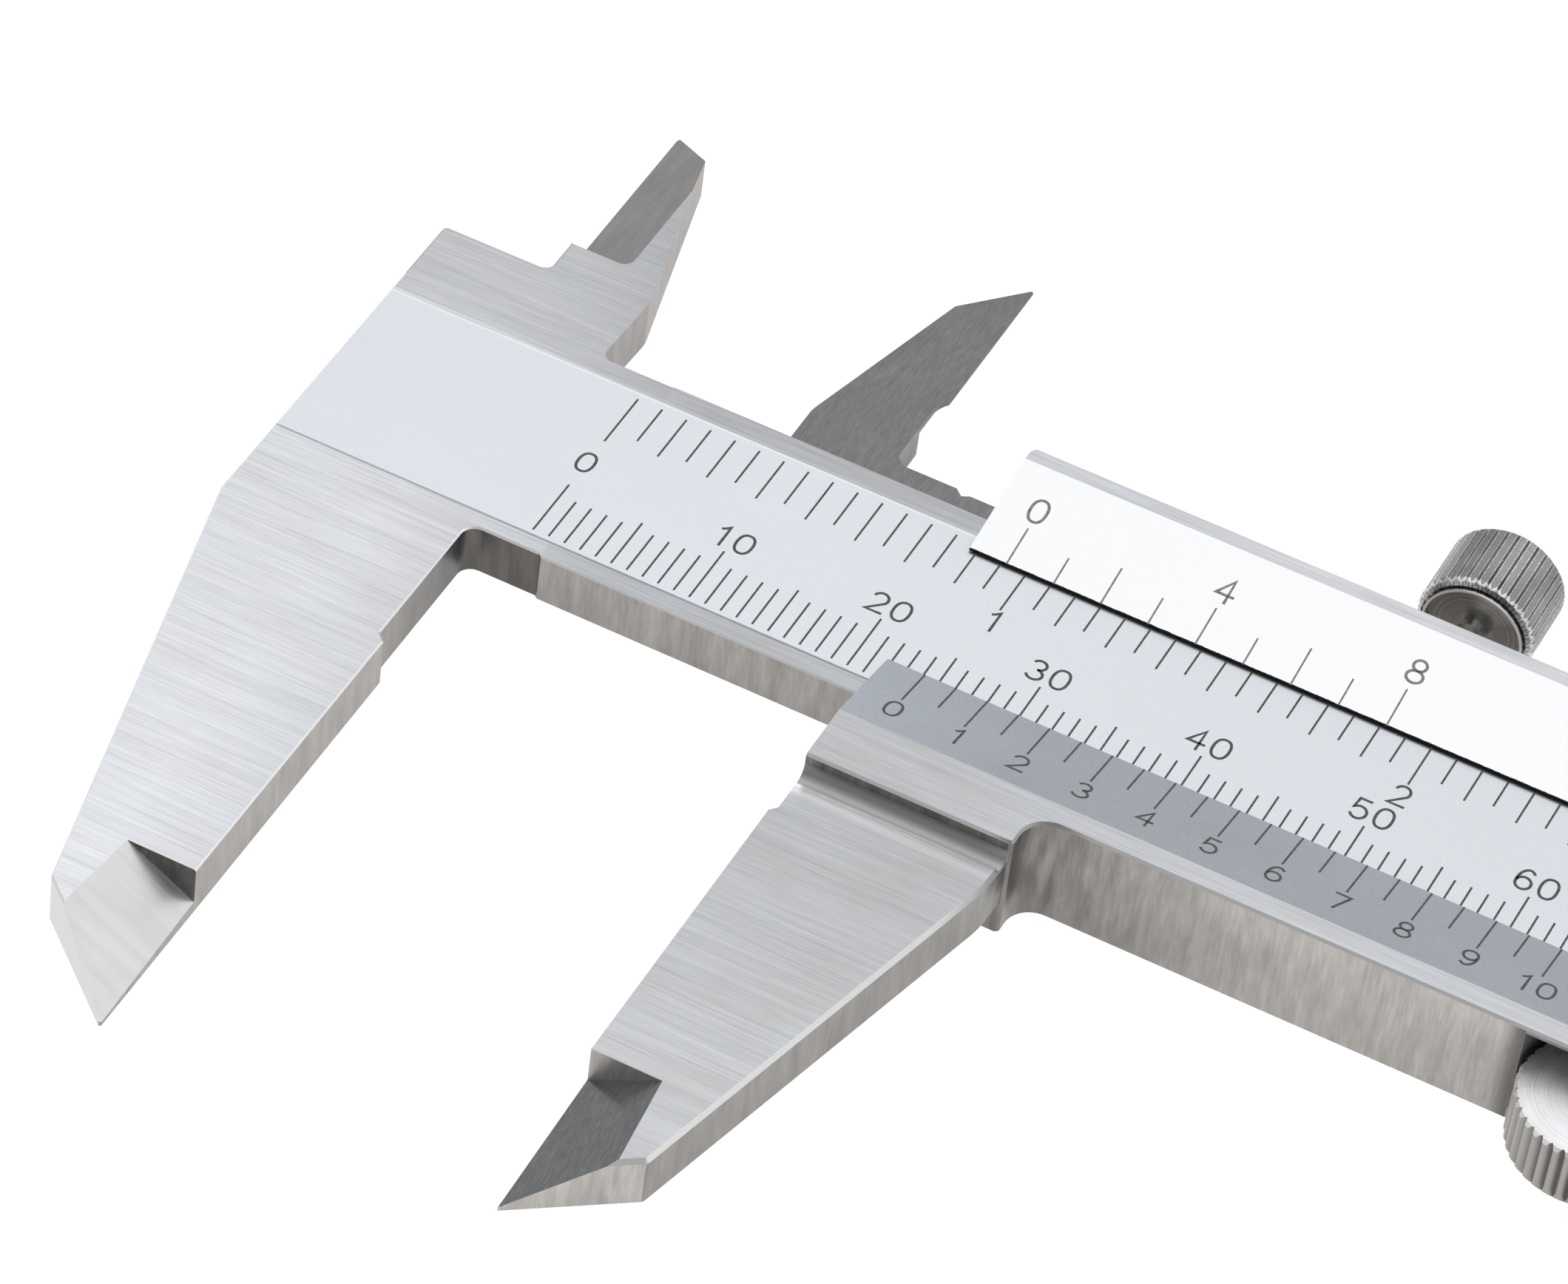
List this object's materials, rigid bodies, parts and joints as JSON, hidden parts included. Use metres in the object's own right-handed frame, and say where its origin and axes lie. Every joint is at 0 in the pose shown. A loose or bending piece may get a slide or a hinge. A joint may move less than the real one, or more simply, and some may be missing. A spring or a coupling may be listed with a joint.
{
  "type": "vernier caliper",
  "caption": "Vernier caliper with outside and inside jaws, depth bar, thumb roller and knurled lock screw; its slider travels along an engraved beam.",
  "frame": {"origin": "centre of the overall box at rest, on the plane of the slider's back face, which the caliper lies on", "axes": "+X along the beam from the fixed jaws to the depth bar's tip, +Y towards the inside jaws, +Z out of the scale face"},
  "size_m": [0.2542, 0.0806, 0.0075],
  "materials": {
    "ground_steel": "ground and brushed hardened stainless steel, satin scale faces",
    "gib_brass": "plain machined brass",
    "nickel_knurl": "nickel-plated knurled steel",
    "screw_steel": "turned steel",
    "spring_steel": "blued spring steel",
    "engraving_fill": "dark matt filling of the engraved lines and figures"
  },
  "bodies": {
    "beam": {"main_beam": "ground_steel", "end_stop_plate": "ground_steel", "end_stop_screw_lower": "screw_steel", "end_stop_screw_upper": "screw_steel"},
    "slider": {"slider_body": "ground_steel", "gib_strip": "gib_brass", "depth_bar": "ground_steel", "depth_bar_screw_front": "screw_steel", "depth_bar_screw_rear": "screw_steel", "roller_bracket": "ground_steel", "roller_bracket_screw_front": "screw_steel", "roller_bracket_screw_rear": "screw_steel", "roller_spring": "spring_steel", "roller_axle": "screw_steel", "roller_washer": "gib_brass"},
    "lock_screw": {"lock_screw_knob": "nickel_knurl", "lock_screw_stud": "screw_steel"},
    "gib_screw_front": {"gib_set_screw_front": "screw_steel"},
    "gib_screw_rear": {"gib_set_screw_rear": "screw_steel"},
    "roller": {"thumb_roller": "nickel_knurl"}
  },
  "joints": [
    {"name": "slider_travel", "type": "slide", "parent": "beam", "child": "slider", "axis": [1, 0, 0], "range_m": [-0.02415, 0.12585]},
    {"name": "roller_spin", "type": "hinge", "parent": "slider", "child": "roller", "pos_m": [-0.04149, -0.00371, 0.00395], "axis": [0, 0, 1], "range_deg": [-300, 1520]},
    {"name": "lock_screw_turn", "type": "hinge", "parent": "slider", "child": "lock_screw", "pos_m": [-0.06187, 0.02794, 0.00395], "axis": [0, 1, 0], "range_deg": [-45, 360]},
    {"name": "gib_screw_front_turn", "type": "hinge", "parent": "slider", "child": "gib_screw_front", "pos_m": [-0.08156, 0.02094, 0.00395], "axis": [0, 1, 0], "range_deg": [-90, 90]},
    {"name": "gib_screw_rear_turn", "type": "hinge", "parent": "slider", "child": "gib_screw_rear", "pos_m": [-0.04256, 0.02094, 0.00395], "axis": [0, 1, 0], "range_deg": [-90, 90]}
  ],
  "couplings": [
    {"joint": "roller_spin", "follows": "slider_travel", "rad_per_m": 209.64}
  ]
}
